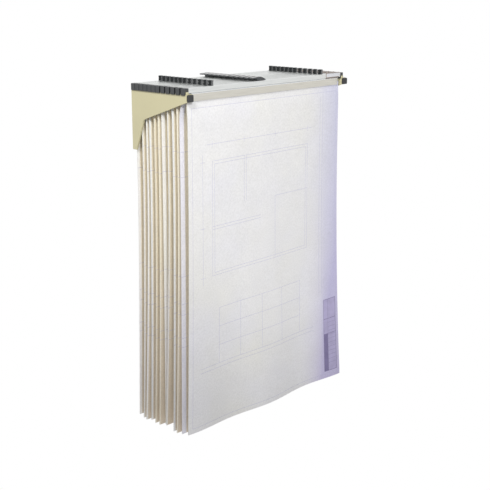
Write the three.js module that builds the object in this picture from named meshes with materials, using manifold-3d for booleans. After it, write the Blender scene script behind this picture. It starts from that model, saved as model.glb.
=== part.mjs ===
// Plan hanging rack: two wall brackets that carry a row of hanging clamps, each with a pack of large sheets.
// Millimetres. X runs along the clamps, +Y points into the wall and the wall is the plane Y = 0.
// Z = 0 is the top edge of the brackets, where the clamps hang.
import * as THREE from 'three';
import { mergeVertices } from 'three/addons/utils/BufferGeometryUtils.js';
import Module from 'manifold-3d';

// Driving dimensions: fits
const FIT_GAP = 0.3;
const CUT_PAST = 1;
const FUSE_DEPTH = 0.6;
const ROUND_STEPS = 16;

// Row of clamps
const CLAMP_COUNT = 12;
const CLOSE_CLAMPS = 7;
const CLOSE_GAP = 1;
const OPEN_GAP = 3.8;
const WALL_CLEARANCE = 0.5;

// Brackets
const PLATE = 2;
const BRACKET_HEIGHT = 160;
const FOOT_DEPTH = 15;
const ELBOW_REACH = 47;
const ELBOW_DROP = 77;
const ELBOW_RADIUS = 14;
const ELBOW_STEPS = 6;
const TIP_HEIGHT = 20;
const STOP_CLEARANCE = 0.5;
const LIP_DEPTH = 3;
const WALL_FLANGE = 23;
const FRONT_FLANGE = 17.5;
const STOP_RISE = 5.7;
const STOP_WIDTH = 8;
const SCREW_HOLE = 5.5;
const SCREW_INSET = 24;

// Bumpers
const BUMPER_SIDE = 18;
const BUMPER_DEPTH = 7;
const BUMPER_CORNER = 2;
const BUMPER_EDGE = 1.2;
const BUMPER_STEM = 6;

// Clamp section
const CLAMP_DEPTH = 15;
const BODY_TOP = 15;
const GROOVE_LEVEL = 2.5;
const JAW_DROP = 19;
const FRONT_WALL = 3;
const REAR_WALL = 2.2;
const TOP_WALL = 2.5;
const WEB_TOP = 1.2;
const WEB = 2.2;
const JAW_PLATE = 2.2;
const JAW_CHAMFER = 2.4;
const NECK_HEIGHT = 2.2;
const ARM_TOP = 11;
const ARM_THICK = 1.6;
const TOP_GROOVE_WIDTH = 0.9;
const TOP_GROOVE_DEPTH = 0.6;
const TOP_GROOVE_INSET = 3;

// Places along the clamp: jaw from the hangers' plugs, knobs from both ends, grip from the left end
const JAW_LEFT_GAP = 1.5;
const JAW_RIGHT_GAP = 4.2;
const KNOB_INSET = 98;
const GRIP_INSET = 274;

// Hangers
const HANGER_LEG = 3;
const HANGER_BODY = 7.7;
const HANGER_HOOK = 2.7;
const HANGER_CORNER = 1;
const HANGER_SETBACK = 0.2;
const PLUG_LENGTH = 9.5;

// Knobs
const KNOB_THICK = 7;
const KNOB_SETBACK = 1.2;
const KNOB_HEIGHT = 13.7;
const KNOB_CORNER = 2;
const KNOB_WAIST = 0.8;
const STEM_RADIUS = 3.2;
const CAM_RADIUS = 2;
const CAM_BOTTOM = 6.5;
const CAM_CLEARANCE = 0.6;

// Lifting grip
const GRIP_SETBACK = 1.5;
const GRIP_REACH = 26;
const GRIP_HEIGHT = 11;
const BLADE_TIP = 9.3;
const BLADE_GAP = 6.2;
const RAMP_TIP = 2.6;
const RAMP_GAP = 1;
const GRIP_FOOT_LEFT = 6;
const GRIP_FOOT_RIGHT = 13;
const GRIP_PEG_RADIUS = 1.8;
const GRIP_PEG_LENGTH = 4;
const GRIP_PEG_OFFSETS = [-2, 9];

// Label
const LABEL_LENGTH = 62;
const LABEL_END_INSET = 4.4;
const LABEL_RISE = 2.5;
const LABEL_RECESS = 2;
const LABEL_BACK = 0.7;
const LABEL_LIP = 0.4;
const LABEL_LIP_REACH = 1.6;
const CARD_THICK = 0.3;

// Sheets
const SHEET_WIDTH = 610;
const SHEET_LENGTH = 914;
const SHEET_LEFT_GAP = 6.7;
const SHEET_RIGHT_GAP = 9.3;
const PACK_GRIP = 2.4;
const PACK_SPREAD = 8;
const SPREAD_DROP = 45;
const PACK_INSET = 1;
const FOLD_DEPTH = 4.4;
const FOLD_COUNT = 1.3;
const FOLD_PHASE = 1.9;
const HEM_STEP = 7;
const HEM_PHASE = 2.4;
const CURL_DEPTH = 6;
const CURL_LEAN = 32;
const CURL_SHIFT = -9;
const CURL_START = 150;
const FRONT_COLUMNS = 24;
const FRONT_ROWS = 10;
const REAR_COLUMNS = 12;
const REAR_ROWS = 5;

// Sizes that follow from the driving dimensions
const HALF_DEPTH = CLAMP_DEPTH / 2;
const CLOSE_PITCH = CLAMP_DEPTH + CLOSE_GAP;
const OPEN_PITCH = CLAMP_DEPTH + OPEN_GAP;
const FIRST_CENTRE = PLATE + WALL_CLEARANCE + HALF_DEPTH;
const BRACKET_SPACING = SHEET_LEFT_GAP + SHEET_WIDTH + SHEET_RIGHT_GAP;
const LEFT_PLATE = -BRACKET_SPACING / 2;
const RIGHT_PLATE = BRACKET_SPACING / 2;
const ROW_LENGTH = (CLOSE_CLAMPS - 1) * CLOSE_PITCH + (CLAMP_COUNT - CLOSE_CLAMPS) * OPEN_PITCH;
const FRONT_CENTRE = -(FIRST_CENTRE + ROW_LENGTH);
const FRONT_INSIDE = FRONT_CENTRE - HALF_DEPTH - STOP_CLEARANCE;
const TIP = FRONT_INSIDE - PLATE;
const HANGER_LEFT = -FIT_GAP - HANGER_LEG;
const HANGER_RIGHT = PLATE + FIT_GAP + HANGER_BODY;
const CLAMP_LEFT = LEFT_PLATE + HANGER_LEFT;
const CLAMP_RIGHT = RIGHT_PLATE + HANGER_RIGHT;
const LEFT_SHOULDER = LEFT_PLATE + HANGER_RIGHT;
const RIGHT_SHOULDER = RIGHT_PLATE + HANGER_LEFT;
const BODY_LEFT = LEFT_SHOULDER + FIT_GAP;
const BODY_RIGHT = RIGHT_SHOULDER - FIT_GAP;
const PLUG_LEFT_END = LEFT_SHOULDER + PLUG_LENGTH;
const PLUG_RIGHT_END = RIGHT_SHOULDER - PLUG_LENGTH;
const JAW_LEFT = PLUG_LEFT_END + JAW_LEFT_GAP;
const JAW_RIGHT = PLUG_RIGHT_END - JAW_RIGHT_GAP;
const JAW_BACK = -HALF_DEPTH + JAW_PLATE;
const PACK_TOP_FRONT = JAW_BACK + FIT_GAP;
const PACK_TOP_BACK = PACK_TOP_FRONT + PACK_GRIP;
const REAR_JAW_FRONT = PACK_TOP_BACK + FIT_GAP;
const REAR_JAW_BACK = REAR_JAW_FRONT + JAW_PLATE;
const CHANNEL_FRONT = -HALF_DEPTH + FRONT_WALL;
const CHANNEL_BACK = HALF_DEPTH - REAR_WALL;
const CHANNEL_TOP = BODY_TOP - TOP_WALL;
const NECK_TOP = GROOVE_LEVEL - FIT_GAP;
const NECK_BOTTOM = NECK_TOP - NECK_HEIGHT;
const ARM_FRONT = CHANNEL_FRONT + FIT_GAP;
const ARM_BACK = ARM_FRONT + ARM_THICK;
const STEM_HOLE = STEM_RADIUS + FIT_GAP;
const KNOB_AXIS = ARM_BACK + CAM_CLEARANCE + STEM_RADIUS;
const KNOB_XS = { left: CLAMP_LEFT + KNOB_INSET, right: CLAMP_RIGHT - KNOB_INSET };
const GRIP_X = CLAMP_LEFT + GRIP_INSET;
const LABEL_RIGHT = BODY_RIGHT - LABEL_END_INSET;
const LABEL_LEFT = LABEL_RIGHT - LABEL_LENGTH;
const LABEL_TOP = BODY_TOP + LABEL_RISE;
const LABEL_FLOOR = -HALF_DEPTH + LABEL_RECESS;
const SHEET_LEFT = LEFT_PLATE + SHEET_LEFT_GAP;
const SHEET_TOP = -HANGER_HOOK - FIT_GAP;
const PACK_FRONT = -HALF_DEPTH + PACK_INSET;

const wasm = await Module();
wasm.setup();

// Finishes
function finish(color, roughness, metalness) {
  return new THREE.MeshStandardMaterial({ color, roughness, metalness });
}
const sandPaint = finish(0xcfc8a5, 0.5, 0.1);
const aluminium = finish(0xc9ccca, 0.35, 0.9);
const blackPlastic = finish(0x2a2b2d, 0.55, 0);
const blackRubber = finish(0x2c2c2c, 0.8, 0);
const paper = finish(0xecebe6, 0.9, 0);
const clearPlastic = finish(0xd5d3d6, 0.3, 0);

// Turn a closed geometry into a solid that can be joined and cut
function solid(geometry) {
  const bare = geometry.clone();
  bare.deleteAttribute('normal');
  bare.deleteAttribute('uv');
  const merged = mergeVertices(bare, 1e-4);
  const mesh = new wasm.Mesh({
    numProp: 3,
    vertProperties: new Float32Array(merged.attributes.position.array),
    triVerts: new Uint32Array(merged.index.array),
  });
  return new wasm.Manifold(mesh);
}

function geometryOf(body) {
  const mesh = body.getMesh();
  const geometry = new THREE.BufferGeometry();
  geometry.setAttribute('position', new THREE.BufferAttribute(new Float32Array(mesh.vertProperties), 3));
  geometry.setIndex(new THREE.BufferAttribute(new Uint32Array(mesh.triVerts), 1));
  geometry.computeVertexNormals();
  return geometry;
}

function outline(points) {
  return new THREE.Shape(points.map(([u, v]) => new THREE.Vector2(u, v)));
}

function extruded(shape, depth, steps = 4) {
  return new THREE.ExtrudeGeometry(shape, { depth, bevelEnabled: false, curveSegments: steps });
}

// A section drawn in Y and Z, run along X from one end to the other
function alongX(shape, from, to, steps) {
  const turn = new THREE.Matrix4().makeBasis(
    new THREE.Vector3(0, 1, 0),
    new THREE.Vector3(0, 0, 1),
    new THREE.Vector3(1, 0, 0),
  );
  return solid(extruded(shape, to - from, steps).applyMatrix4(turn).translate(from, 0, 0));
}

// A profile drawn in X and Z, run along Y between two values
function alongY(shape, front, back, steps) {
  const turn = new THREE.Matrix4().makeRotationX(Math.PI / 2);
  return solid(extruded(shape, back - front, steps).applyMatrix4(turn).translate(0, back, 0));
}

function block(low, high) {
  const size = high.map((value, axis) => value - low[axis]);
  const centre = high.map((value, axis) => (value + low[axis]) / 2);
  return solid(new THREE.BoxGeometry(...size).translate(...centre));
}

function uprightRound(radius, x, y, low, high) {
  const round = new THREE.CylinderGeometry(radius, radius, high - low, ROUND_STEPS);
  return solid(round.rotateX(Math.PI / 2).translate(x, y, (low + high) / 2));
}

function roundAlongY(radius, x, z, front, back) {
  const round = new THREE.CylinderGeometry(radius, radius, back - front, ROUND_STEPS);
  return solid(round.translate(x, (front + back) / 2, z));
}

function named(name, geometry, material) {
  const mesh = new THREE.Mesh(geometry, material);
  mesh.name = name;
  return mesh;
}

// Brackets
// The lower edge of the plate, from the tip back to the wall, with the elbow as an arc.
function lowerEdge() {
  const tip = new THREE.Vector2(TIP, -TIP_HEIGHT);
  const elbow = new THREE.Vector2(-ELBOW_REACH, -ELBOW_DROP);
  const foot = new THREE.Vector2(-FOOT_DEPTH, -BRACKET_HEIGHT);
  const toTip = tip.clone().sub(elbow).normalize();
  const toFoot = foot.clone().sub(elbow).normalize();
  const half = Math.acos(toTip.dot(toFoot)) / 2;
  const middle = toTip.clone().add(toFoot).normalize();
  const centre = elbow.clone().addScaledVector(middle, ELBOW_RADIUS / Math.sin(half));
  const start = elbow.clone().addScaledVector(toTip, ELBOW_RADIUS / Math.tan(half)).sub(centre).angle();
  const end = elbow.clone().addScaledVector(toFoot, ELBOW_RADIUS / Math.tan(half)).sub(centre).angle();
  const points = [tip];
  for (let step = 0; step <= ELBOW_STEPS; step += 1) {
    const angle = start + ((end - start) * step) / ELBOW_STEPS;
    points.push(new THREE.Vector2(Math.cos(angle), Math.sin(angle)).multiplyScalar(ELBOW_RADIUS).add(centre));
  }
  points.push(foot);
  return points;
}

// The same edge moved into the plate by its thickness
function movedIn(points, distance) {
  return points.map((point, index) => {
    const before = points[Math.max(index - 1, 0)];
    const after = points[Math.min(index + 1, points.length - 1)];
    const along = after.clone().sub(before).normalize();
    return point.clone().add(new THREE.Vector2(-along.y, along.x).multiplyScalar(distance));
  });
}

function bracketGeometry(plateX) {
  const edge = lowerEdge();
  const plateShape = new THREE.Shape([
    new THREE.Vector2(0, 0),
    new THREE.Vector2(TIP, 0),
    ...edge,
    new THREE.Vector2(0, -BRACKET_HEIGHT),
  ]);
  const inside = plateX + PLATE;
  let body = alongX(plateShape, plateX, inside);

  const lip = new THREE.Shape([...edge, ...movedIn(edge, PLATE).reverse()]);
  body = body.add(alongX(lip, plateX, inside + LIP_DEPTH));

  body = body.add(block([plateX, -PLATE, -BRACKET_HEIGHT], [inside + WALL_FLANGE, 0, 0]));
  for (const z of [-SCREW_INSET, SCREW_INSET - BRACKET_HEIGHT]) {
    const x = inside + WALL_FLANGE / 2;
    body = body.subtract(roundAlongY(SCREW_HOLE / 2, x, z, -PLATE - CUT_PAST, CUT_PAST));
  }

  const flange = outline([
    [plateX, -TIP_HEIGHT],
    [inside + FRONT_FLANGE, -TIP_HEIGHT],
    [inside + FRONT_FLANGE, 0],
    [plateX + STOP_WIDTH, 0],
    [plateX + STOP_WIDTH, STOP_RISE],
    [plateX, STOP_RISE],
  ]);
  body = body.add(alongY(flange, TIP, TIP + PLATE));
  const stemHole = BUMPER_STEM / 2 + FIT_GAP;
  const centre = bumperCentre(plateX);
  body = body.subtract(roundAlongY(stemHole, centre.x, centre.z, TIP - CUT_PAST, FRONT_INSIDE + CUT_PAST));
  return geometryOf(body);
}

// Bumpers
function bumperCentre(plateX) {
  return { x: plateX + (PLATE + FRONT_FLANGE) / 2, z: -TIP_HEIGHT / 2 };
}

function bumperGeometry(plateX) {
  const centre = bumperCentre(plateX);
  const side = BUMPER_SIDE / 2 - BUMPER_EDGE;
  const face = new THREE.Shape();
  face.moveTo(-side + BUMPER_CORNER, -side);
  face.lineTo(side - BUMPER_CORNER, -side);
  face.quadraticCurveTo(side, -side, side, -side + BUMPER_CORNER);
  face.lineTo(side, side - BUMPER_CORNER);
  face.quadraticCurveTo(side, side, side - BUMPER_CORNER, side);
  face.lineTo(-side + BUMPER_CORNER, side);
  face.quadraticCurveTo(-side, side, -side, side - BUMPER_CORNER);
  face.lineTo(-side, -side + BUMPER_CORNER);
  face.quadraticCurveTo(-side, -side, -side + BUMPER_CORNER, -side);
  const back = TIP - FIT_GAP;
  const pad = new THREE.ExtrudeGeometry(face, {
    depth: BUMPER_DEPTH - 2 * BUMPER_EDGE,
    bevelThickness: BUMPER_EDGE,
    bevelSize: BUMPER_EDGE,
    bevelSegments: 2,
    curveSegments: 3,
  });
  pad.rotateX(Math.PI / 2).translate(centre.x, back - BUMPER_EDGE, centre.z);
  const stem = roundAlongY(BUMPER_STEM / 2, centre.x, centre.z, back - BUMPER_EDGE, TIP + PLATE);
  return geometryOf(solid(pad).add(stem));
}

// Clamp sections, drawn about the clamp's own middle
function topFace() {
  const grooves = [-1, 1].flatMap((side) => {
    const middle = side * (HALF_DEPTH - TOP_GROOVE_INSET);
    return [
      [middle - TOP_GROOVE_WIDTH / 2, BODY_TOP],
      [middle - TOP_GROOVE_WIDTH / 2, BODY_TOP - TOP_GROOVE_DEPTH],
      [middle + TOP_GROOVE_WIDTH / 2, BODY_TOP - TOP_GROOVE_DEPTH],
      [middle + TOP_GROOVE_WIDTH / 2, BODY_TOP],
    ];
  });
  return [[-HALF_DEPTH, BODY_TOP], ...grooves, [HALF_DEPTH, BODY_TOP]];
}

function rearLegs() {
  return [
    [HALF_DEPTH, -JAW_DROP],
    [CHANNEL_BACK, -JAW_DROP],
    [CHANNEL_BACK, WEB_TOP - WEB],
    [REAR_JAW_BACK, WEB_TOP - WEB],
    [REAR_JAW_BACK, -JAW_DROP],
    [REAR_JAW_FRONT, -JAW_DROP],
  ];
}

function bodySection() {
  return outline([
    [-HALF_DEPTH, GROOVE_LEVEL],
    ...topFace(),
    ...rearLegs(),
    [REAR_JAW_FRONT, WEB_TOP],
    [CHANNEL_BACK, WEB_TOP],
    [CHANNEL_BACK, CHANNEL_TOP],
    [CHANNEL_FRONT, CHANNEL_TOP],
    [CHANNEL_FRONT, GROOVE_LEVEL],
  ]);
}

function jawSection() {
  return outline([
    [-HALF_DEPTH, -JAW_DROP],
    [-HALF_DEPTH, NECK_TOP - JAW_CHAMFER],
    [-HALF_DEPTH + JAW_CHAMFER, NECK_TOP],
    [ARM_FRONT, NECK_TOP],
    [ARM_FRONT, ARM_TOP],
    [ARM_BACK, ARM_TOP],
    [ARM_BACK, NECK_BOTTOM],
    [JAW_BACK, NECK_BOTTOM],
    [JAW_BACK, -JAW_DROP],
  ]);
}

// A stored clamp with its jaw closed: the body and the jaw in one section
function closedSection() {
  const grooveDepth = JAW_CHAMFER - FIT_GAP;
  return outline([
    [-HALF_DEPTH, GROOVE_LEVEL],
    ...topFace(),
    ...rearLegs(),
    [REAR_JAW_FRONT, NECK_BOTTOM],
    [JAW_BACK, NECK_BOTTOM],
    [JAW_BACK, -JAW_DROP],
    [-HALF_DEPTH, -JAW_DROP],
    [-HALF_DEPTH, NECK_TOP - JAW_CHAMFER],
    [-HALF_DEPTH + grooveDepth, NECK_TOP - FIT_GAP],
    [-HALF_DEPTH + grooveDepth, GROOVE_LEVEL],
  ]);
}

// Hanger: a block with a slot that drops over the bracket's top edge
function hangerBlock(plateX) {
  const slotLeft = plateX - FIT_GAP;
  const slotRight = plateX + PLATE + FIT_GAP;
  const left = plateX + HANGER_LEFT;
  const right = plateX + HANGER_RIGHT;
  const profile = outline([
    [left, HANGER_CORNER - HANGER_HOOK],
    [left + HANGER_CORNER, -HANGER_HOOK],
    [slotLeft, -HANGER_HOOK],
    [slotLeft, FIT_GAP],
    [slotRight, FIT_GAP],
    [slotRight, -HANGER_HOOK],
    [right - HANGER_CORNER, -HANGER_HOOK],
    [right, HANGER_CORNER - HANGER_HOOK],
    [right, BODY_TOP - HANGER_CORNER],
    [right - HANGER_CORNER, BODY_TOP],
    [left + HANGER_CORNER, BODY_TOP],
    [left, BODY_TOP - HANGER_CORNER],
  ]);
  return alongY(profile, -HALF_DEPTH + HANGER_SETBACK, HALF_DEPTH - HANGER_SETBACK);
}

// The plug that holds a hanger in the end of the body's channel
function hangerPlug(from, to) {
  return block(
    [from, CHANNEL_FRONT + FIT_GAP, WEB_TOP + FIT_GAP],
    [to, CHANNEL_BACK - FIT_GAP, CHANNEL_TOP - FIT_GAP],
  );
}

function leftHangerGeometry() {
  const plug = hangerPlug(LEFT_SHOULDER - HANGER_CORNER, PLUG_LEFT_END);
  return geometryOf(hangerBlock(LEFT_PLATE).add(plug));
}

function rightHangerGeometry() {
  const plug = hangerPlug(PLUG_RIGHT_END, RIGHT_SHOULDER + HANGER_CORNER);
  return geometryOf(hangerBlock(RIGHT_PLATE).add(plug));
}

// Knob: a grip with a waist, a stem through the top wall and an eccentric cam
function knobGrip(x) {
  const low = BODY_TOP + FIT_GAP;
  const high = low + KNOB_HEIGHT;
  const front = -HALF_DEPTH + KNOB_SETBACK;
  const back = HALF_DEPTH - KNOB_SETBACK;
  const waist = (low + high) / 2;
  const profile = new THREE.Shape();
  profile.moveTo(front, low);
  profile.quadraticCurveTo(front + 2 * KNOB_WAIST, waist, front, high - KNOB_CORNER);
  profile.quadraticCurveTo(front, high, front + KNOB_CORNER, high);
  profile.lineTo(back - KNOB_CORNER, high);
  profile.quadraticCurveTo(back, high, back, high - KNOB_CORNER);
  profile.quadraticCurveTo(back - 2 * KNOB_WAIST, waist, back, low);
  return alongX(profile, x - KNOB_THICK / 2, x + KNOB_THICK / 2, 3);
}

function camKnobGeometry(x) {
  const seat = BODY_TOP + FIT_GAP + CUT_PAST;
  const cam = uprightRound(CAM_RADIUS, x, KNOB_AXIS - (STEM_RADIUS - CAM_RADIUS), CAM_BOTTOM, BODY_TOP);
  const stem = uprightRound(STEM_RADIUS, x, KNOB_AXIS, CHANNEL_TOP - FIT_GAP, seat);
  return geometryOf(knobGrip(x).add(stem).add(cam));
}

function plainKnobGeometry(x) {
  const seat = BODY_TOP + FIT_GAP + CUT_PAST;
  return geometryOf(knobGrip(x).add(uprightRound(STEM_RADIUS, x, KNOB_AXIS, CAM_BOTTOM, seat)));
}

// Lifting grip: a ramp on the right and a finger blade over a gap on the left
function gripBlock(seat) {
  const base = BODY_TOP + FIT_GAP;
  const blade = base + BLADE_GAP;
  const profile = new THREE.Shape();
  profile.moveTo(GRIP_X - GRIP_FOOT_LEFT, seat);
  profile.lineTo(GRIP_X + GRIP_FOOT_RIGHT, seat);
  profile.lineTo(GRIP_X + GRIP_FOOT_RIGHT, base);
  profile.lineTo(GRIP_X + GRIP_REACH, base + RAMP_GAP);
  profile.lineTo(GRIP_X + GRIP_REACH, base + RAMP_TIP);
  profile.quadraticCurveTo(GRIP_X + GRIP_FOOT_RIGHT, base + GRIP_HEIGHT, GRIP_X, base + GRIP_HEIGHT);
  profile.lineTo(GRIP_X - GRIP_REACH, base + BLADE_TIP);
  profile.lineTo(GRIP_X - GRIP_REACH, blade);
  profile.lineTo(GRIP_X - 2 * GRIP_FOOT_LEFT, blade);
  profile.quadraticCurveTo(GRIP_X - GRIP_FOOT_LEFT, blade, GRIP_X - GRIP_FOOT_LEFT, base);
  return alongY(profile, -HALF_DEPTH + GRIP_SETBACK, HALF_DEPTH - GRIP_SETBACK, 4);
}

function gripGeometry() {
  const seat = BODY_TOP + FIT_GAP;
  let body = gripBlock(seat);
  for (const offset of GRIP_PEG_OFFSETS) {
    const x = GRIP_X + offset;
    body = body.add(uprightRound(GRIP_PEG_RADIUS, x, 0, seat - GRIP_PEG_LENGTH, seat + CUT_PAST));
  }
  return geometryOf(body);
}

// Front clamp's body, with holes for the knobs and the grip and a recess for the label
function bodyGeometry() {
  let body = alongX(bodySection(), BODY_LEFT, BODY_RIGHT);
  for (const x of Object.values(KNOB_XS)) {
    body = body.subtract(uprightRound(STEM_HOLE, x, KNOB_AXIS, CHANNEL_TOP - CUT_PAST, BODY_TOP + CUT_PAST));
  }
  for (const offset of GRIP_PEG_OFFSETS) {
    const hole = GRIP_PEG_RADIUS + FIT_GAP;
    body = body.subtract(uprightRound(hole, GRIP_X + offset, 0, CHANNEL_TOP - CUT_PAST, BODY_TOP + CUT_PAST));
  }
  return geometryOf(body.subtract(labelRecess(GROOVE_LEVEL - CUT_PAST)));
}

// A stored clamp: body, closed jaw, hangers, grip and label strip as one piece
function storedBarGeometry() {
  let body = alongX(closedSection(), LEFT_SHOULDER, RIGHT_SHOULDER);
  const jawSides = [[BODY_LEFT - CUT_PAST, JAW_LEFT], [JAW_RIGHT, BODY_RIGHT + CUT_PAST]];
  for (const [from, to] of jawSides) {
    const low = [from, -HALF_DEPTH - CUT_PAST, -JAW_DROP - CUT_PAST];
    body = body.subtract(block(low, [to, PACK_TOP_FRONT, GROOVE_LEVEL]));
  }
  for (const [plateX, shoulder] of [[LEFT_PLATE, LEFT_SHOULDER], [RIGHT_PLATE, RIGHT_SHOULDER]]) {
    body = body.add(hangerBlock(plateX)).add(hangerPlug(shoulder - HANGER_CORNER, shoulder + HANGER_CORNER));
  }
  body = body.add(gripBlock(BODY_TOP - FUSE_DEPTH));
  body = body.subtract(labelRecess(GROOVE_LEVEL)).add(labelStrip(LABEL_FLOOR + FUSE_DEPTH));
  for (const x of Object.values(KNOB_XS)) {
    body = body.subtract(uprightRound(STEM_HOLE, x, KNOB_AXIS, CAM_BOTTOM - CUT_PAST, BODY_TOP + CUT_PAST));
  }
  return geometryOf(body);
}

// Label: a recess in the body's front, and a strip with a lip above and below that keeps the card in
function labelRecess(low) {
  return block(
    [LABEL_LEFT - FIT_GAP, -HALF_DEPTH - CUT_PAST, low],
    [LABEL_RIGHT + FIT_GAP, LABEL_FLOOR, BODY_TOP + CUT_PAST],
  );
}

function labelStrip(back) {
  const face = LABEL_FLOOR - FIT_GAP - LABEL_BACK;
  const lipBack = face - 2 * FIT_GAP - CARD_THICK;
  const lipFront = lipBack - LABEL_LIP;
  const low = GROOVE_LEVEL + FIT_GAP;
  const section = outline([
    [back, low],
    [back, LABEL_TOP],
    [lipFront, LABEL_TOP],
    [lipFront, LABEL_TOP - LABEL_LIP_REACH],
    [lipBack, LABEL_TOP - LABEL_LIP_REACH],
    [lipBack, LABEL_TOP - LABEL_LIP],
    [face, LABEL_TOP - LABEL_LIP],
    [face, low + LABEL_LIP],
    [lipBack, low + LABEL_LIP],
    [lipBack, low + LABEL_LIP_REACH],
    [lipFront, low + LABEL_LIP_REACH],
    [lipFront, low],
  ]);
  return alongX(section, LABEL_LEFT, LABEL_RIGHT);
}

function labelCardGeometry() {
  const back = LABEL_FLOOR - LABEL_BACK - 2 * FIT_GAP;
  const low = GROOVE_LEVEL + LABEL_LIP + 2 * FIT_GAP;
  const high = LABEL_TOP - LABEL_LIP - FIT_GAP;
  return geometryOf(block([LABEL_LEFT, back - CARD_THICK, low], [LABEL_RIGHT, back, high]));
}

// Sheets
// A pack is thin between the jaws, spreads below them and hangs in soft folds.
function spreadShare(z) {
  return THREE.MathUtils.smoothstep(-z, JAW_DROP, JAW_DROP + SPREAD_DROP);
}

function storedFold(index) {
  return (across, z) => {
    const wave = 1 + Math.sin(2 * Math.PI * FOLD_COUNT * across + FOLD_PHASE * index);
    return (FOLD_DEPTH / 2) * wave * spreadShare(z);
  };
}

function frontCurl(across, z) {
  const drop = THREE.MathUtils.clamp((-z - CURL_START) / (SHEET_LENGTH - CURL_START), 0, 1);
  const wave = CURL_SHIFT + CURL_LEAN * across + CURL_DEPTH * Math.cos(4 * Math.PI * across);
  return -wave * drop * drop;
}

function packGeometry(bottom, fold, columns, rows) {
  const drops = [SHEET_TOP, -JAW_DROP];
  for (let row = 1; row < rows; row += 1) {
    const from = -JAW_DROP - SPREAD_DROP;
    drops.push(from + ((bottom - from) * (row - 1)) / (rows - 2));
  }
  const points = [];
  for (const face of ['front', 'back']) {
    for (const z of drops) {
      for (let column = 0; column <= columns; column += 1) {
        const across = column / columns;
        const share = spreadShare(z);
        const grip = face === 'front' ? PACK_TOP_FRONT : PACK_TOP_BACK;
        const loose = face === 'front' ? PACK_FRONT : PACK_FRONT + PACK_SPREAD;
        const y = THREE.MathUtils.lerp(grip, loose, share) + fold(across, z);
        points.push(SHEET_LEFT + SHEET_WIDTH * across, y, z);
      }
    }
  }
  const width = columns + 1;
  const layer = width * drops.length;
  const last = drops.length - 1;
  const triangles = [];
  const quad = (a, b, c, d) => triangles.push(a, b, c, a, c, d);
  for (let row = 0; row < last; row += 1) {
    for (let column = 0; column < columns; column += 1) {
      const corner = row * width + column;
      quad(corner, corner + width, corner + width + 1, corner + 1);
      const far = corner + layer;
      quad(far, far + 1, far + width + 1, far + width);
    }
    const left = row * width;
    quad(left, left + layer, left + layer + width, left + width);
    const right = left + columns;
    quad(right, right + width, right + layer + width, right + layer);
  }
  for (let column = 0; column < columns; column += 1) {
    quad(column, column + 1, column + 1 + layer, column + layer);
    const low = last * width + column;
    quad(low, low + layer, low + layer + 1, low + 1);
  }
  const geometry = new THREE.BufferGeometry();
  geometry.setAttribute('position', new THREE.Float32BufferAttribute(points, 3));
  geometry.setIndex(triangles);
  geometry.computeVertexNormals();
  return geometry;
}

// Assembly
function clampCentre(index) {
  const close = Math.min(index, CLOSE_CLAMPS - 1);
  const open = index - close;
  return -(FIRST_CENTRE + close * CLOSE_PITCH + open * OPEN_PITCH);
}

function hemLevel(index) {
  return SHEET_TOP - SHEET_LENGTH + HEM_STEP * Math.sin(HEM_PHASE * index);
}

function rackPieces() {
  const group = new THREE.Group();
  for (const [side, plateX] of [['left', LEFT_PLATE], ['right', RIGHT_PLATE]]) {
    group.add(named(`${side}_bracket`, bracketGeometry(plateX), sandPaint));
    group.add(named(`${side}_bumper`, bumperGeometry(plateX), blackRubber));
  }
  return group;
}

function storedClamp(index) {
  const prefix = `clamp_${String(index + 1).padStart(2, '0')}`;
  const group = new THREE.Group();
  group.position.y = clampCentre(index);
  const sheets = packGeometry(hemLevel(index), storedFold(index), REAR_COLUMNS, REAR_ROWS);
  group.add(named(`${prefix}_bar`, storedBarGeometry(), aluminium));
  group.add(named(`${prefix}_left_knob`, plainKnobGeometry(KNOB_XS.left), blackPlastic));
  group.add(named(`${prefix}_right_knob`, plainKnobGeometry(KNOB_XS.right), blackPlastic));
  group.add(named(`${prefix}_sheets`, sheets, paper));
  return group;
}

function frontClamp() {
  const prefix = `clamp_${CLAMP_COUNT}`;
  const group = new THREE.Group();
  group.position.y = FRONT_CENTRE;
  const sheets = packGeometry(SHEET_TOP - SHEET_LENGTH, frontCurl, FRONT_COLUMNS, FRONT_ROWS);
  group.add(named(`${prefix}_body`, bodyGeometry(), aluminium));
  group.add(named(`${prefix}_front_jaw`, geometryOf(alongX(jawSection(), JAW_LEFT, JAW_RIGHT)), aluminium));
  group.add(named(`${prefix}_left_hanger`, leftHangerGeometry(), blackPlastic));
  group.add(named(`${prefix}_right_hanger`, rightHangerGeometry(), blackPlastic));
  group.add(named(`${prefix}_lifting_grip`, gripGeometry(), blackPlastic));
  group.add(named(`${prefix}_left_knob`, camKnobGeometry(KNOB_XS.left), blackPlastic));
  group.add(named(`${prefix}_right_knob`, camKnobGeometry(KNOB_XS.right), blackPlastic));
  group.add(named(`${prefix}_label_holder`, geometryOf(labelStrip(LABEL_FLOOR - FIT_GAP)), clearPlastic));
  group.add(named(`${prefix}_label_card`, labelCardGeometry(), paper));
  group.add(named(`${prefix}_sheets`, sheets, paper));
  return group;
}

const rack = new THREE.Group();
rack.add(rackPieces());
for (let index = 0; index < CLAMP_COUNT - 1; index += 1) {
  rack.add(storedClamp(index));
}
rack.add(frontClamp());

export default rack;
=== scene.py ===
"""Looks for the plan hanging rack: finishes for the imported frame, and the sheets of its hanging packs.

Metres. X runs along the clamps, +Y points into the wall and Z = 0 is the top edge of the brackets.
"""

import math
import random
from collections import namedtuple

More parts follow.
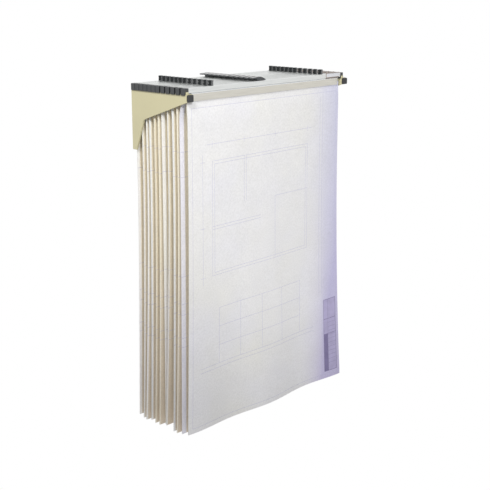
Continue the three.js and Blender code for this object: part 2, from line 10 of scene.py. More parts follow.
import bpy
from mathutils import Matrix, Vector


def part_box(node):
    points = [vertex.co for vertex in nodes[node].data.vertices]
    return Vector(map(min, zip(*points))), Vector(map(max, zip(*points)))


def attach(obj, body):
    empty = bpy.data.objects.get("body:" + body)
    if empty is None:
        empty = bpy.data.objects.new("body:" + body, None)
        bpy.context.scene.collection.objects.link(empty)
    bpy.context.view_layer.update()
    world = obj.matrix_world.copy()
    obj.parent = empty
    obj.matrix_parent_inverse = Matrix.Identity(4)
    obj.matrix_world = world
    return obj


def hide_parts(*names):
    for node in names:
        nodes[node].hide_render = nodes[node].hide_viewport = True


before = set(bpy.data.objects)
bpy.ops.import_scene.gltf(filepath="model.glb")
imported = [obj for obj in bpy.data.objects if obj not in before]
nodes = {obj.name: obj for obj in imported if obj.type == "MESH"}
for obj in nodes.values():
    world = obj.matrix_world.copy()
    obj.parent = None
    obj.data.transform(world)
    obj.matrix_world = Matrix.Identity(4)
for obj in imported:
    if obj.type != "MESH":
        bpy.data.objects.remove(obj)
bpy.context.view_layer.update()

SEED = 11
MM = 0.001
SIDES = ("left", "right")

# Camera, worked out from the photograph's edges
CAMERA_PLACE = (-1.848, -1.857, 0.250)
CAMERA_YAW = math.radians(43.33)
CAMERA_PITCH = math.radians(12.68)
CAMERA_LENS = 67.0
CAMERA_SENSOR = 36
CAMERA_SHIFT = -0.10

# Lamps and surroundings
KEY_PLACE = (-1.59, -2.74, 1.60)
KEY_TARGET = (0.0, -0.20, 0.05)
KEY_RADIUS = 0.2
KEY_CONE = math.radians(27)
KEY_BLEND = 0.5
KEY_POWER = 205
FILL_PLACE = (-1.95, -1.10, 1.80)
FILL_TARGET = (-0.2, -0.12, -0.20)
FILL_POWER = 44
BACK_PLACE = (0.9, 2.3, -0.45)
BACK_TARGET = (0.0, 0.0, -0.45)
BACK_POWER = 20
SOFT_SIZE = 0.8
AMBIENT = (0.455, 0.455, 0.46)
WHITE = (1, 1, 1)
FLOOR_LEVEL = -2.1
FLOOR_REACH = 9
FLOOR_SIDES = 64
FLOOR_SHADE_RADIUS = 0.7
FLOOR_FADE_RADIUS = 1.35
FLOOR_GLOW = 0.55
FLOOR_COLOUR = (0.9, 0.9, 0.9)
FLOOR_ROUGHNESS = 0.9

# Clamps
CLAMP_COUNT = 12
FRONT = CLAMP_COUNT
HALF_DEPTH = 7.5 * MM
BODY_TOP = 15 * MM
JAW_BOTTOM = -19 * MM
SHOULDER_GAP = 0.15 * MM
LABEL_FACE = -6.5 * MM
LABEL_BACK = -5.4 * MM
NEAR = 0.1 * MM

# Rounded edges of the frame's pieces
WELD = 0.01 * MM
FLAT_ANGLE = math.radians(0.5)
EDGE_ANGLE = math.radians(35)
EDGE = 0.35 * MM
PLATE_EDGE = 0.7 * MM
FINE_EDGE = 0.1 * MM
EDGE_SEGMENTS = 2
SAME_FINISH = -1

# How squarely a face looks up, sideways or to the front for its finish, and the finishes in slot order;
# several finishes picked this way are painted light and shade: lit faces, highlights and gap shade
TOP_FACING = 0.5
SIDE_FACING = 0.7
CARD_FACING = 0.9
CHAMFER_FACING = (0.25, 0.875)
KNOB_SLOTS = ("knob_plastic", "knob_wear_and_highlight", "knob_painted_lit_face")
BAR_SLOTS = ("aluminium", "hanger_plastic", "hanger_painted_gap_shade", "grip_plastic", "grip_painted_highlight_top", "label_strip")
CARD_SLOT = len(BAR_SLOTS)

# Hanging packs, about the clamp's own middle
GRIP_FRONT = -5.0 * MM
GRIP_BACK = -2.6 * MM
HANG_FRONT = -6.5 * MM
HANG_BACK = 1.5 * MM
SPREAD_DROP = 45 * MM
FOLD_DEPTH = 4.4 * MM
FOLD_COUNT = 1.3
FOLD_PHASE = 1.9
CURL_START = 150 * MM
CURL_SHIFT = -9 * MM
CURL_LEAN = 32 * MM
CURL_DEPTH = 6 * MM
CURL_WAVES = 2

# Leaves: the first of a pack is a single sheet, the others are bundles of sheets
SHEET_FLAT = (610 * MM, 914 * MM)
LEAF_THICK = 0.25 * MM
BUNDLE_FILL = 0.8
FRONT_LEAVES = 5
REAR_LEAVES = 4
FRONT_COLUMNS = 40
REAR_COLUMNS = 26
LEAF_ROWS = 26
ROW_CROWDING = 1.5
EDGE_SHARE = 0.2
EDGE_REACH = 0.3
SIDE_REACH = 0.35
FRONT_SIDE_REACH = 0.25
LEAN_START = 240 * MM
LEAN_POWER = 1.4
TRIM_SLACK = 0.8 * MM
UNTRIMMED = (0.0, 0.0)
LINE_GAP = 0.05 * MM
GRID_DIGITS = 6

# Each pack, in mm: paper, pale margin (the untoned edge band, left clear of the painted shade), offset of
# its left side, lean and swing of its lower left, drop
Pack = namedtuple("Pack", "paper margin offset lean swing drop")
REAR_PACKS = (
    Pack("white", 8, 4.6, 11, 5.5, 3),
    Pack("white", 4, -3.6, 12, 8.5, 6.5),
    Pack("white", 5, 0, 14, 12, 8),
    Pack("blue", 6, 3.2, 10, 7, 4),
    Pack("cream", 4, -2.9, 11, 8, 7),
    Pack("cream", 3, 0, 10, 7.5, 7.5),
    Pack("white", 12, 3.2, 5, 2, 0),
    Pack("white", 4, -2.9, 13, 12, -2.5),
    Pack("blue", 6, -2.5, 9, 5.5, 7.5),
    Pack("cream", 3, 2.1, 11, 8, 7),
    Pack("lilac", 14, 8.2, 6, 2.5, 6.5),
)
FRONT_PACK = Pack("front", 0, 0, 0, 11, 6)

# Finishes: blotch and grain are noise scales, depth is the grain's bump, drift how far the colour varies
EVEN = (1, 1, 1)
ALONG = (0.02, 1, 1)
LAYERED = (0.02, 1, 0.02)
DRIFT = 0.08
PAINT = dict(blotch=7, grain=900, drift=0.03)
METAL = dict(blotch=900, grain=2400, metallic=1.0, stretch=ALONG)
PLASTIC = dict(blotch=60, grain=1800)
INK = dict(roughness=0.8, grain=900, depth=0.1)
FINISHES = {
    "sand_paint": dict(PAINT, colour=(0.605, 0.562, 0.357), roughness=0.46, depth=0.25),
    # Lighter paint on the brackets' rounded edges: wear, and a painted highlight along the lips
    "sand_wear_and_highlight": dict(PAINT, colour=(0.76, 0.71, 0.50), roughness=0.34, depth=0.15),
    "aluminium": dict(METAL, colour=(0.715, 0.73, 0.718), roughness=0.36, depth=0.2),
    # Brighter metal on the front clamp's rounded edges, the jaw's upward chamfer and its cut ends: wear
    # and bare cut metal, and a painted highlight
    "aluminium_wear_and_highlight": dict(METAL, colour=(0.88, 0.89, 0.90), roughness=0.28, depth=0.1),
    "champagne": dict(METAL, colour=(0.64, 0.62, 0.56), roughness=0.38, depth=0.2),
    "hanger_plastic": dict(PLASTIC, colour=(0.043, 0.045, 0.047), roughness=0.45, depth=0.4),
    # Darker plastic on the hangers' front and back faces: painted shade in the gaps between neighbouring
    # hangers
    "hanger_painted_gap_shade": dict(PLASTIC, colour=(0.012, 0.013, 0.014), roughness=0.6, depth=0.4, gloss=0.1),
    "knob_plastic": dict(PLASTIC, colour=(0.011, 0.013, 0.014), roughness=0.5, depth=0.4, gloss=0.2),
    # The knobs' front and back faces in lighter plastic: painted light, so these faces read lighter than
    # the dark sides
    "knob_painted_lit_face": dict(PLASTIC, colour=(0.115, 0.119, 0.122), roughness=0.42, depth=0.3),
    # Lighter plastic on the knobs' rounded edges: wear and a painted highlight
    "knob_wear_and_highlight": dict(PLASTIC, colour=(0.085, 0.088, 0.092), roughness=0.38, depth=0.3),
    "grip_plastic": dict(PLASTIC, colour=(0.080, 0.083, 0.086), roughness=0.45, depth=0.15, gloss=0.2),
    # Pale, glossy tops of the lifting grips: a painted highlight
    "grip_painted_highlight_top": dict(PLASTIC, colour=(0.23, 0.23, 0.225), roughness=0.10, depth=0.05),
    "rubber": dict(colour=(0.032, 0.032, 0.033), roughness=0.66, blotch=80, grain=1500, depth=0.5),
    "label_strip": dict(colour=(0.34, 0.28, 0.24), roughness=0.25, blotch=40, grain=900, depth=0.05),
    # Tan paper edges banded along the layers: the edges of the sheets, with painted shade between them
    "sheet_edges_and_painted_gap_shade": dict(
        colour=(0.74, 0.70, 0.60),
        roughness=0.8,
        blotch=2200,
        grain=2200,
        depth=0.3,
        drift=0.2,
        stretch=LAYERED,
    ),
    "ink": dict(INK, colour=(0.52, 0.51, 0.68), blotch=60),
    "block_ink": dict(INK, colour=(0.23, 0.20, 0.36), blotch=60),
    "block_tone": dict(INK, colour=(0.47, 0.43, 0.64), blotch=40, drift=0.1),
}
NOISE_LOW = 0.3
NOISE_HIGH = 0.7
NOISE_DETAIL = 3.0
GLOSS = 0.5
GLOSS_SWING = 0.12
GLOSS_SCALE = 1 / 3
GRAIN_DISTANCE = 0.1 * MM

# Papers, and the tones near their edges: one at the top, one at the bottom; on the stored packs these
# tones are painted shade between the packs, darker towards the bottom
PAPERS = {
    "front": (0.86, 0.86, 0.855),
    "white": (0.94, 0.94, 0.92),
    "cream": (0.93, 0.89, 0.76),
    "blue": (0.89, 0.92, 0.95),
    "lilac": (0.88, 0.88, 0.96),
}
# Painted shade on the stored packs: cream near the top, brown-grey near the bottom
PAINTED_SHADE_TONES = ((0.94, 0.86, 0.68), (0.72, 0.63, 0.51))
FRONT_TONES = ((0.44, 0.455, 0.80), (0.46, 0.40, 0.70))
PAPER_CLOUD = 14
PAPER_SPECKLE = 240
SPECKLE_SHARE = 0.75
PAPER_DRIFT = 0.075
TINT_CLOUD = 5
PAPER_TINTS = ((1.005, 0.995, 0.965), (0.99, 0.984, 1.025))
PAPER_ROUGHNESS = 0.8
PAPER_GLOSS = 0.25
FIBRE_SCALE = 700
FIBRE_DEPTH = 0.12
MARGIN_SOFT = 0.0035
# The painted shade is strong within these reaches of either side and fades to a weak share in the middle
PAINTED_SHADE_FADE = (180 * MM, 55 * MM)
PAINTED_SHADE_MIDDLE = 0.22
TONE_START = 0.70
TONE_END = 1.40
TONE_BAND = (0.865, 0.905)
TONE_STEP = 0.05
TONE_GAIN = 4.2
TONE_LIMIT = 0.68
TONE_POWER = 3

# Label card: blank, darker brown along its left and lower sides
CARD_COLOUR = (0.76, 0.77, 0.80)
CARD_SIDE_BROWN = (0.24, 0.17, 0.12)
CARD_SIDE_BROWN_WIDTH = 2.2 * MM

# Print on the front sheet, in metres from its left and top edges; boxes are left, top, right, bottom
LINE = 0.7 * MM
HEAVY = 1.6 * MM
BORDER = (0.014, 0.028, 0.600, 0.900)
SIDE_LINES = (0.526, 0.538)
SIDE_LINE_ENDS = (0.040, 0.640)
PLAN = (0.085, 0.170, 0.470, 0.480)
PLAN_WALL = 0.008
PLAN_ACROSS = (0.205, 0.330)
PLAN_DOWN = (0.300, 0.345)
PLAN_OPENINGS = (0.05, 0.06)
CHAIN_GAPS = (0.045, 0.035)
CHAIN_REACH = 0.02
CHAIN_TICK = 0.008
SECTION_ACROSS = (0.110, 0.192, 0.275, 0.358, 0.440)
SECTION_DOWN = (0.575, 0.628, 0.682)
GROUND = 0.735
GROUND_STEPS = (0.0, 0.012)
GROUND_ENDS = (0.040, 0.500)
BLOCK = (0.546, 0.662, 0.598, 0.892)
BLOCK_ROWS = (0.27, 0.48)
BLOCK_COLUMN = 0.34
RULE_STEP = 0.013

# Long lines on the stored packs, from the left edge
MARGIN_LEVELS = (0.140, 0.205, 0.470, 0.545, 0.575, 0.640, 0.665)
MARGIN_END = 0.560


# Small helpers
def lerp(low, high, share):
    return low + (high - low) * share


def smoothstep(value, low, high):
    share = min(1.0, max(0.0, (value - low) / (high - low)))
    return share * share * (3 - 2 * share)


def shade(colour, factor):
    return tuple(min(1.0, channel * factor) for channel in colour)


def tinted(colour, tint):
    return tuple(min(1.0, channel * share) for channel, share in zip(colour, tint))


def clamp_name(number):
    return f"clamp_{number:02d}"


def clamp_middle(number):
    piece = "body" if number == FRONT else "bar"
    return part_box(f"{clamp_name(number)}_{piece}")[1].y - HALF_DEPTH


# Materials
def new_material(name):
    material = bpy.data.materials.new(name)
    material.use_nodes = True
    tree = material.node_tree
    return material, tree, tree.nodes["Principled BSDF"]


def add(tree, kind, **values):
    node = tree.nodes.new(kind)
    for key, value in values.items():
        setattr(node, key, value)
    return node


def math_node(tree, operation, first, second):
    """A math node; each input is a socket to link or a number."""
    node = add(tree, "ShaderNodeMath", operation=operation)
    for place, value in enumerate((first, second)):
        if isinstance(value, bpy.types.NodeSocket):
            tree.links.new(value, node.inputs[place])
        else:
            node.inputs[place].default_value = value
    return node.outputs["Value"]


def coordinates(tree, stretch=EVEN):
    source = add(tree, "ShaderNodeTexCoord")
    mapping = add(tree, "ShaderNodeMapping")
    mapping.inputs["Scale"].default_value = stretch
    tree.links.new(source.outputs["Object"], mapping.inputs["Vector"])
    return mapping.outputs["Vector"]


def noise(tree, vector, scale):
    node = add(tree, "ShaderNodeTexNoise")
    node.inputs["Scale"].default_value = scale
    node.inputs["Detail"].default_value = NOISE_DETAIL
    tree.links.new(vector, node.inputs["Vector"])
    return node.outputs["Fac"]


def clouded(tree, factor, colour, drift):
    """The colour, drifting with a noise between a darker and a lighter version of itself."""
    node = add(tree, "ShaderNodeValToRGB")
    low, high = node.color_ramp.elements
    low.position = NOISE_LOW
    low.color = (*shade(colour, 1 - drift), 1)
    high.position = NOISE_HIGH
    high.color = (*shade(colour, 1 + drift), 1)
    tree.links.new(factor, node.inputs["Fac"])
    return node.outputs["Color"]


def map_range(tree, value, start, end, low=0.0, high=1.0, kind="LINEAR"):
    node = add(tree, "ShaderNodeMapRange", interpolation_type=kind)
    node.inputs["From Min"].default_value = start
    node.inputs["From Max"].default_value = end
    node.inputs["To Min"].default_value = low
    node.inputs["To Max"].default_value = high
    tree.links.new(value, node.inputs["Value"])
    return node.outputs["Result"]


def mixed(tree, factor, first, second):
    node = add(tree, "ShaderNodeMix", data_type="RGBA")
    tree.links.new(factor, node.inputs["Factor"])
    tree.links.new(first, node.inputs["A"])
    tree.links.new(second, node.inputs["B"])
    return node.outputs["Result"]


def bump(tree, shader, height, strength):
    node = add(tree, "ShaderNodeBump")
    node.inputs["Strength"].default_value = strength
    node.inputs["Distance"].default_value = GRAIN_DISTANCE
    tree.links.new(height, node.inputs["Height"])
    tree.links.new(node.outputs["Normal"], shader.inputs["Normal"])


def speckled(
    name, colour, roughness, blotch, grain, depth, drift=DRIFT, metallic=0.0, gloss=GLOSS, stretch=EVEN
):
    """A finish whose colour and gloss drift over blotches, with a fine grain on top."""
    material, tree, shader = new_material(name)
    vector = coordinates(tree, stretch)
    cloud = clouded(tree, noise(tree, vector, blotch), colour, drift)
    tree.links.new(cloud, shader.inputs["Base Color"])
    haze = noise(tree, vector, grain * GLOSS_SCALE)
    low = roughness * (1 - GLOSS_SWING)
    high = roughness * (1 + GLOSS_SWING)
    tree.links.new(map_range(tree, haze, NOISE_LOW, NOISE_HIGH, low, high), shader.inputs["Roughness"])
    shader.inputs["Metallic"].default_value = metallic
    shader.inputs["Specular IOR Level"].default_value = gloss
    bump(tree, shader, noise(tree, vector, grain), depth)
    return material


def paper_cloud(tree, vector):
    """Broad clouds with a finer mottling over them."""
    broad = math_node(tree, "MULTIPLY", noise(tree, vector, PAPER_CLOUD), 1 - SPECKLE_SHARE)
    fine = math_node(tree, "MULTIPLY", noise(tree, vector, PAPER_SPECKLE), SPECKLE_SHARE)
    return math_node(tree, "ADD", broad, fine)


def drawing_paper(name, colour, tones, mask):
    """Fibrous paper, warmer and cooler in places. mask says how much of the tones shows at a point; on the
    stored packs these tones are painted shade.
    """
    material, tree, shader = new_material(name)
    source = add(tree, "ShaderNodeTexCoord")
    vector = source.outputs["Object"]
    cloud = paper_cloud(tree, vector)
    split = add(tree, "ShaderNodeSeparateXYZ")
    tree.links.new(source.outputs["UV"], split.inputs["Vector"])
    share = mask(tree, split.outputs["X"], split.outputs["Y"])
    hue = map_range(tree, noise(tree, vector, TINT_CLOUD), NOISE_LOW, NOISE_HIGH)
    warm, cool = (clouded(tree, cloud, tinted(colour, tint), PAPER_DRIFT) for tint in PAPER_TINTS)
    pale = mixed(tree, hue, warm, cool)
    upper, lower = (clouded(tree, cloud, tone, PAPER_DRIFT) for tone in tones)
    # Down the sheet the tone goes from the upper to the lower one; on the stored packs this is painted
    # shade that darkens towards the bottom
    toned = mixed(tree, split.outputs["Y"], upper, lower)
    tree.links.new(mixed(tree, share, pale, toned), shader.inputs["Base Color"])
    shader.inputs["Roughness"].default_value = PAPER_ROUGHNESS
    shader.inputs["Specular IOR Level"].default_value = PAPER_GLOSS
    bump(tree, shader, noise(tree, vector, FIBRE_SCALE), FIBRE_DEPTH)
    return material


def shade_inside_margin(width):
    """Painted shade along both sides that fades towards the middle, with none on a pale, lit margin at the
    edge.
    """
    edge = 0.5 - width * MM / SHEET_FLAT[0]
    fade = [0.5 - reach / SHEET_FLAT[0] for reach in PAINTED_SHADE_FADE]

    def mask(tree, across, down):
        side = math_node(tree, "ABSOLUTE", math_node(tree, "SUBTRACT", across, 0.5), 0.0)
        outer = map_range(tree, side, edge - MARGIN_SOFT, edge + MARGIN_SOFT, 1.0, 0.0, "SMOOTHSTEP")
        inner = map_range(tree, side, *fade, PAINTED_SHADE_MIDDLE, 1.0, "SMOOTHSTEP")
        return math_node(tree, "MULTIPLY", outer, inner)

    return mask


def right_side(tree, across, down):
    """A tone that rises towards the right edge, with a step along the border, stronger near the bottom."""
    rise = map_range(tree, across, TONE_START, TONE_END, kind="SMOOTHSTEP")
    band = map_range(tree, across, *TONE_BAND, 0.0, TONE_STEP, "SMOOTHSTEP")
    gain = map_range(tree, math_node(tree, "POWER", down, TONE_POWER), 0.0, 1.0, 1.0, TONE_GAIN)
    share = math_node(tree, "MULTIPLY", math_node(tree, "ADD", rise, band), gain)
    return math_node(tree, "MINIMUM", share, TONE_LIMIT)


def brown_sided_card(name, box):
    """A blank card, darker brown along its left and lower sides."""
    material, tree, shader = new_material(name)
    vector = coordinates(tree)
    split = add(tree, "ShaderNodeSeparateXYZ")
    tree.links.new(vector, split.inputs["Vector"])
    left = math_node(tree, "LESS_THAN", split.outputs["X"], box[0].x + CARD_SIDE_BROWN_WIDTH)
    low = math_node(tree, "LESS_THAN", split.outputs["Z"], box[0].z + CARD_SIDE_BROWN_WIDTH)
    brown_sides = math_node(tree, "MAXIMUM", left, low)
    cloud = noise(tree, vector, PAPER_CLOUD)
    pale = clouded(tree, cloud, CARD_COLOUR, PAPER_DRIFT)
    dark = clouded(tree, cloud, CARD_SIDE_BROWN, DRIFT)
    tree.links.new(mixed(tree, brown_sides, pale, dark), shader.inputs["Base Color"])
    shader.inputs["Roughness"].default_value = PAPER_ROUGHNESS
    bump(tree, shader, noise(tree, vector, FIBRE_SCALE), FIBRE_DEPTH)
    return material


GRIP_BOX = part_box("clamp_12_lifting_grip")
LABEL_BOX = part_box("clamp_12_label_holder")
BODY_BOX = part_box("clamp_12_body")
finish = {name: speckled(name, **values) for name, values in FINISHES.items()}
label_card = brown_sided_card("label_card", LABEL_BOX)
front_paper = drawing_paper("paper_front", PAPERS[FRONT_PACK.paper], FRONT_TONES, right_side)


# Carried-over frame pieces: finishes and small rounded edges
def finish_node(node, *materials, edge=SAME_FINISH, width=EDGE):
    """Gives a frame piece its finishes and rounds its edges. edge is the slot that the rounding takes."""
    mesh = node.data
    mesh.materials.clear()
    for material in materials:
        mesh.materials.append(material)
    mesh.shade_smooth()
    weld = node.modifiers.new("weld", "WELD")
    weld.merge_threshold = WELD
    merge = node.modifiers.new("merge", "DECIMATE")
    merge.decimate_type = "DISSOLVE"
    merge.angle_limit = FLAT_ANGLE
    merge.delimit = {"MATERIAL"}
    bevel = node.modifiers.new("edges", "BEVEL")
    bevel.width = width
    bevel.segments = EDGE_SEGMENTS
    bevel.limit_method = "ANGLE"
    bevel.angle_limit = EDGE_ANGLE
    bevel.material = edge
    node.modifiers.new("normals", "WEIGHTED_NORMAL")


def bar_slot(place, normal):
    """The slot of a stored clamp's face, from its place about the clamp's middle."""
    x, y, z = place
    if x < BODY_BOX[0].x - SHOULDER_GAP or x > BODY_BOX[1].x + SHOULDER_GAP:
        # The hangers' front and back faces take the darker plastic as painted shade in the gaps
        return BAR_SLOTS.index("hanger_painted_gap_shade" if abs(normal.y) > SIDE_FACING else "hanger_plastic")
    # Grip tops take the pale plastic as a painted highlight
    if z > BODY_TOP + NEAR / 2 and GRIP_BOX[0].x - MM < x < GRIP_BOX[1].x + MM:
        return BAR_SLOTS.index("grip_painted_highlight_top" if normal.z > TOP_FACING else "grip_plastic")
    on_strip = LABEL_BOX[0].x - NEAR < x < LABEL_BOX[1].x + NEAR
    if on_strip and y < LABEL_BACK and z > LABEL_BOX[0].z - NEAR:
        on_card = normal.y < -CARD_FACING and abs(y - LABEL_FACE) < NEAR
        return CARD_SLOT if on_card else BAR_SLOTS.index("label_strip")
    return BAR_SLOTS.index("aluminium")


def finish_rack():
    paints = (finish["sand_paint"], finish["sand_wear_and_highlight"])
    for side in SIDES:
        # The rounded edges take the lighter paint: wear and a painted highlight
        finish_node(nodes[f"{side}_bracket"], *paints, edge=1, width=PLATE_EDGE)
        finish_node(nodes[f"{side}_bumper"], finish["rubber"])


def finish_bars():
    for number in range(1, FRONT):
        bar = nodes[f"{clamp_name(number)}_bar"]
        middle = clamp_middle(number)
        finish_node(bar, *(finish[name] for name in BAR_SLOTS), label_card)
        for face in bar.data.polygons:
            x, y, z = face.center
            face.material_index = bar_slot((x, y - middle, z), face.normal)


def finish_knobs():
    for number in range(1, FRONT + 1):
        for side in SIDES:
            knob = nodes[f"{clamp_name(number)}_{side}_knob"]
            # The knobs' rounded edges take the lighter plastic: wear and a painted highlight
            finish_node(knob, *(finish[name] for name in KNOB_SLOTS), edge=KNOB_SLOTS.index("knob_wear_and_highlight"))
            for face in knob.data.polygons:
                # Front and back faces take the lighter plastic as painted light
                name = "knob_painted_lit_face" if abs(face.normal.y) > SIDE_FACING else "knob_plastic"
                face.material_index = KNOB_SLOTS.index(name)


def finish_front_clamp():
    finish_node(nodes["clamp_12_body"], finish["aluminium"], finish["aluminium_wear_and_highlight"], edge=1)
    jaw = nodes["clamp_12_front_jaw"]
    finish_node(jaw, finish["champagne"], finish["aluminium_wear_and_highlight"], edge=1)
    # The jaw's upward chamfer and its cut ends take the brighter metal: a painted highlight, and bare
    # metal at the cut ends
    for face in jaw.data.polygons:
        chamfer = CHAMFER_FACING[0] < face.normal.z < CHAMFER_FACING[1]
        face.material_index = 1 if chamfer or abs(face.normal.x) > SIDE_FACING else 0
    for side in SIDES:
        finish_node(nodes[f"clamp_12_{side}_hanger"], finish["hanger_plastic"])
    grip = nodes["clamp_12_lifting_grip"]
    finish_node(grip, finish["grip_plastic"], finish["grip_painted_highlight_top"])
    # Upward faces take the pale plastic as a painted highlight
    for face in grip.data.polygons:
        face.material_index = 1 if face.normal.z > TOP_FACING else 0
    finish_node(nodes["clamp_12_label_holder"], finish["label_strip"], width=FINE_EDGE)
    finish_node(nodes["clamp_12_label_card"], label_card, width=FINE_EDGE)


# The print on the sheets, as strips in sheet coordinates: across from the left edge, down from the top
def across_line(down, start, end, width=LINE):
    return (start, end, down - width / 2, down + width / 2)


def down_line(across, start, end, width=LINE):
    return (across - width / 2, across + width / 2, start, end)


def box_lines(left, top, right, bottom, width=LINE):
    return [
        across_line(top, left, right, width),
        across_line(bottom, left, right, width),
        down_line(left, top, bottom, width),
        down_line(right, top, bottom, width),
    ]


def room_lines():
    """A plain plan: an outer wall, two inner walls and a corner room."""
    left, top, right, bottom = PLAN
    first, second = PLAN_ACROSS
    upper, level = PLAN_DOWN
    door, passage = PLAN_OPENINGS
    lines = box_lines(left, top, right, bottom)
    lines += box_lines(left + PLAN_WALL, top + PLAN_WALL, right - PLAN_WALL, bottom - PLAN_WALL)
    lines += [down_line(x, top, level - door) for x in (first, first + PLAN_WALL)]
    lines += [across_line(y, left, second - passage) for y in (level, level + PLAN_WALL)]
    lines += [down_line(second, upper, bottom), across_line(upper, second, right)]
    return lines


def chain_lines():
    """Chains of sizes above the plan and at its left, with a tick at each wall."""
    left, top, right, bottom = PLAN
    chain = top - CHAIN_GAPS[0]
    side = left - CHAIN_GAPS[1]
    lines = [across_line(chain, left - CHAIN_REACH, right + CHAIN_REACH)]
    lines += [down_line(x, chain - CHAIN_TICK, chain + CHAIN_TICK) for x in (left, *PLAN_ACROSS, right)]
    lines.append(down_line(side, top - CHAIN_REACH, bottom + CHAIN_REACH))
    lines += [across_line(y, side - CHAIN_TICK, side + CHAIN_TICK) for y in (top, PLAN_DOWN[1], bottom)]
    return lines


def section_lines():
    """A plain section on a ground line of two strokes."""
    lines = [across_line(GROUND + step, *GROUND_ENDS) for step in GROUND_STEPS]
    lines += [across_line(y, SECTION_ACROSS[0], SECTION_ACROSS[-1]) for y in SECTION_DOWN]
    lines += [down_line(x, SECTION_DOWN[0], GROUND) for x in SECTION_ACROSS]
    return lines


def floor_plan():
    """The front sheet's drawing inside a border, with two side lines."""
    lines = box_lines(*BORDER)
    lines += [down_line(x, *SIDE_LINE_ENDS) for x in SIDE_LINES]
    return lines + room_lines() + chain_lines() + section_lines()


def title_block():
    """A blank title block in the lower right corner: a dark side column, two dividers and even ruling."""
    left, top, right, bottom = BLOCK
    upper, lower = (lerp(top, bottom, share) for share in BLOCK_ROWS)
    column = lerp(left, right, BLOCK_COLUMN)
    lines = box_lines(*BLOCK, HEAVY)
    lines += [across_line(level, left, right, HEAVY) for level in (upper, lower)]
    lines += [down_line(column, top, lower), (left, column, lower, bottom)]
    rules = int((bottom - upper) / RULE_STEP)
    lines += [across_line(upper + RULE_STEP * step, column, right) for step in range(1, rules)]
    return lines


def margin_lines():
    """Long lines that run out over the left margin, seen on every stored pack."""
    return [across_line(level, 0.0, MARGIN_END) for level in MARGIN_LEVELS]


# Form of the packs
def below(z, start):
    """How far down the sheet a height is, from 0 at the start to 1 at its lower edge."""
    return min(1.0, max(0.0, (-z - start) / (SHEET_FLAT[1] - start)))


def spread_share(z):
    """How far a pack has opened out below the jaws, from 0 in their grip to 1."""
    return smoothstep(-z, -JAW_BOTTOM, -JAW_BOTTOM + SPREAD_DROP)


def stored_fold(number):
    def fold(across, z):
        wave = 1 + math.sin(2 * math.pi * FOLD_COUNT * across + FOLD_PHASE * (number - 1))
        return FOLD_DEPTH / 2 * wave * spread_share(z)

    return fold


def front_curl(across, z):
    wave = CURL_SHIFT + CURL_LEAN * across + CURL_DEPTH * math.cos(2 * math.pi * CURL_WAVES * across)
    return -wave * below(z, CURL_START) ** 2


def pack_depth(across, z):
    """How deep a pack is at a point: thin in the clamp's grip and along its left edge."""
    share = spread_share(z)
    inward = lerp(EDGE_SHARE, 1.0, smoothstep(across, 0, EDGE_REACH))
    return lerp(GRIP_BACK - GRIP_FRONT, HANG_BACK - HANG_FRONT, share) * lerp(1.0, inward, share)


def leaf_depth(place, bundles):
    """Where a leaf lies in its pack: the single sheet in front, then bundles with evenly spaced backs."""
    return (place - BUNDLE_FILL / 2) / bundles if place else 0.0


def hanging_form(pack, fold, reach, depth):
    """A leaf's lean along X and place in Y. depth is 0 at the pack's front and 1 at its back."""

    def form(across, z):
        share = spread_share(z)
        low = below(z, LEAN_START) ** LEAN_POWER
        y = lerp(GRIP_FRONT, HANG_FRONT, share) + depth * pack_depth(across, z)
        side = max(0.0, 1 - across / reach) ** 2
        y += fold(across, z) + side * share * (pack.offset + pack.swing * low) * MM
        return -pack.lean * MM * low, y

    return form


# Leaves
def crowd_sides(share):
    return 0.5 - 0.5 * math.cos(math.pi * share)


def crowd_top(share):
    return share**ROW_CROWDING


def cuts(count, length, crowd, bands):
    """Grid places along a side, crowded as crowd says, with the edges of printed lines added."""
    values = {round(length * crowd(step / count), GRID_DIGITS) for step in range(count + 1)}
    values.update(round(edge, GRID_DIGITS) for band in bands for edge in band)
    kept = []
    for value in sorted(values):
        if kept and value - kept[-1] < LINE_GAP:
            continue
        kept.append(value)
    return kept


def covers(strip, spot):
    return strip[0] < spot[0] < strip[1] and strip[2] < spot[1] < strip[3]


def grid_faces(sides, drops, prints):
    """The faces of a sheet's grid, each with the slot of the last print over it, or 0 for bare paper."""
    count = len(sides)
    faces = []
    slots = []
    for row in range(len(drops) - 1):
        for column in range(count - 1):
            corner = row * count + column
            faces.append((corner, corner + count, corner + count + 1, corner + 1))
            spot = ((sides[column] + sides[column + 1]) / 2, (drops[row] + drops[row + 1]) / 2)
            slot = 0
            for place, (lines, _) in enumerate(prints, 1):
                if any(covers(strip, spot) for strip in lines):
                    slot = place
            slots.append(slot)
    return faces, slots


def sheet_mesh(name, points, spots, faces, slots, materials):
    mesh = bpy.data.meshes.new(name)
    mesh.from_pydata(points, [], faces)
    for material in materials:
        mesh.materials.append(material)
    mesh.polygons.foreach_set("material_index", slots)
    uv = mesh.uv_layers.new(name="sheet")
    for loop in mesh.loops:
        uv.data[loop.index].uv = spots[loop.vertex_index]
    mesh.shade_smooth()
    return mesh


def thicken(piece, spots, bundles):
    """Makes a leaf a bundle of sheets that fills its part of the pack's depth."""
    most = (HANG_BACK - HANG_FRONT) / bundles
    group = piece.vertex_groups.new(name="bundle")
    for index, (across, z) in enumerate(spots):
        group.add([index], pack_depth(across, z) / bundles / most, "REPLACE")
    thick = piece.modifiers["thickness"]
    thick.vertex_group = group.name
    thick.thickness = BUNDLE_FILL * most
    # The rims take the banded edge colour: sheet edges with painted shade between them
    thick.material_offset_rim = len(piece.data.materials)
    piece.data.materials.append(finish["sheet_edges_and_painted_gap_shade"])


